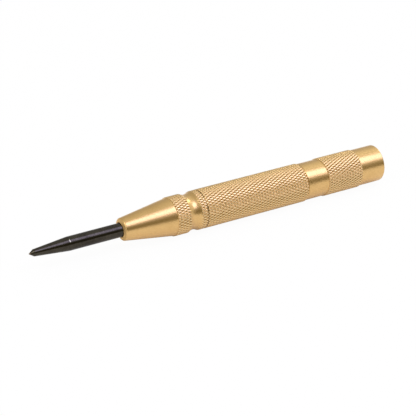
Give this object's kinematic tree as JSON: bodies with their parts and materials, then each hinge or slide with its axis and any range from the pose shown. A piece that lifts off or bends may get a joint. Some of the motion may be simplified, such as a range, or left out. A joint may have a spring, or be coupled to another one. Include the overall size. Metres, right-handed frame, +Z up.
{
  "type": "automatic center punch",
  "caption": "Slim brass automatic center punch: black steel spring-loaded point, cone nose, knurled barrel and a screw cap that sets the blow of the hammer inside.",
  "frame": {"origin": "middle of the length, under the axis, on the surface that the grip lies on", "axes": "+X along the axis from the point to the end of the cap, +Z up with the tool lying on its side"},
  "size_m": [0.1314, 0.013, 0.013],
  "materials": {
    "satin_brass": "satin turned, with diamond knurled bands",
    "black_steel": "black oxide on hardened steel",
    "hard_steel": "turned and hardened",
    "spring_steel": "drawn spring wire"
  },
  "bodies": {
    "housing": {"barrel": "satin_brass", "nose_cone": "satin_brass", "return_spring": "spring_steel"},
    "point": {"punch_point": "black_steel"},
    "pin": {"trip_pin": "hard_steel"},
    "striker": {"hammer": "hard_steel"},
    "seat": {"spring_seat": "hard_steel", "main_spring": "spring_steel"},
    "cap": {"adjuster_cap": "satin_brass"}
  },
  "joints": [
    {"name": "point_plunge", "type": "slide", "parent": "housing", "child": "point", "axis": [1, 0, 0], "range_m": [0, 0.008], "stiffness_N_per_m": 350, "springref_m": -0.006, "deforming": ["return_spring"]},
    {"name": "hammer_slide", "type": "slide", "parent": "housing", "child": "striker", "axis": [1, 0, 0], "range_m": [0, 0.008], "stiffness_N_per_m": 2500, "springref_m": -0.01, "deforming": ["main_spring"]},
    {"name": "pin_align", "type": "hinge", "parent": "point", "child": "pin", "pos_m": [-0.01215, 0, 0.00649], "axis": [0, -1, 0], "range_deg": [0, 2.5], "stiffness_Nm_per_rad": 0.002, "springref_deg": -2.86},
    {"name": "cap_travel", "type": "slide", "parent": "housing", "child": "seat", "axis": [1, 0, 0], "range_m": [0, 0.005], "deforming": ["main_spring"]},
    {"name": "cap_turn", "type": "hinge", "parent": "seat", "child": "cap", "pos_m": [0.03455, 0, 0.00649], "axis": [1, 0, 0], "range_deg": [0, 1800]}
  ],
  "couplings": [
    {"joint": "hammer_slide", "follows": "point_plunge", "ratio": 1},
    {"joint": "cap_turn", "follows": "cap_travel", "rad_per_m": 6283.2}
  ]
}
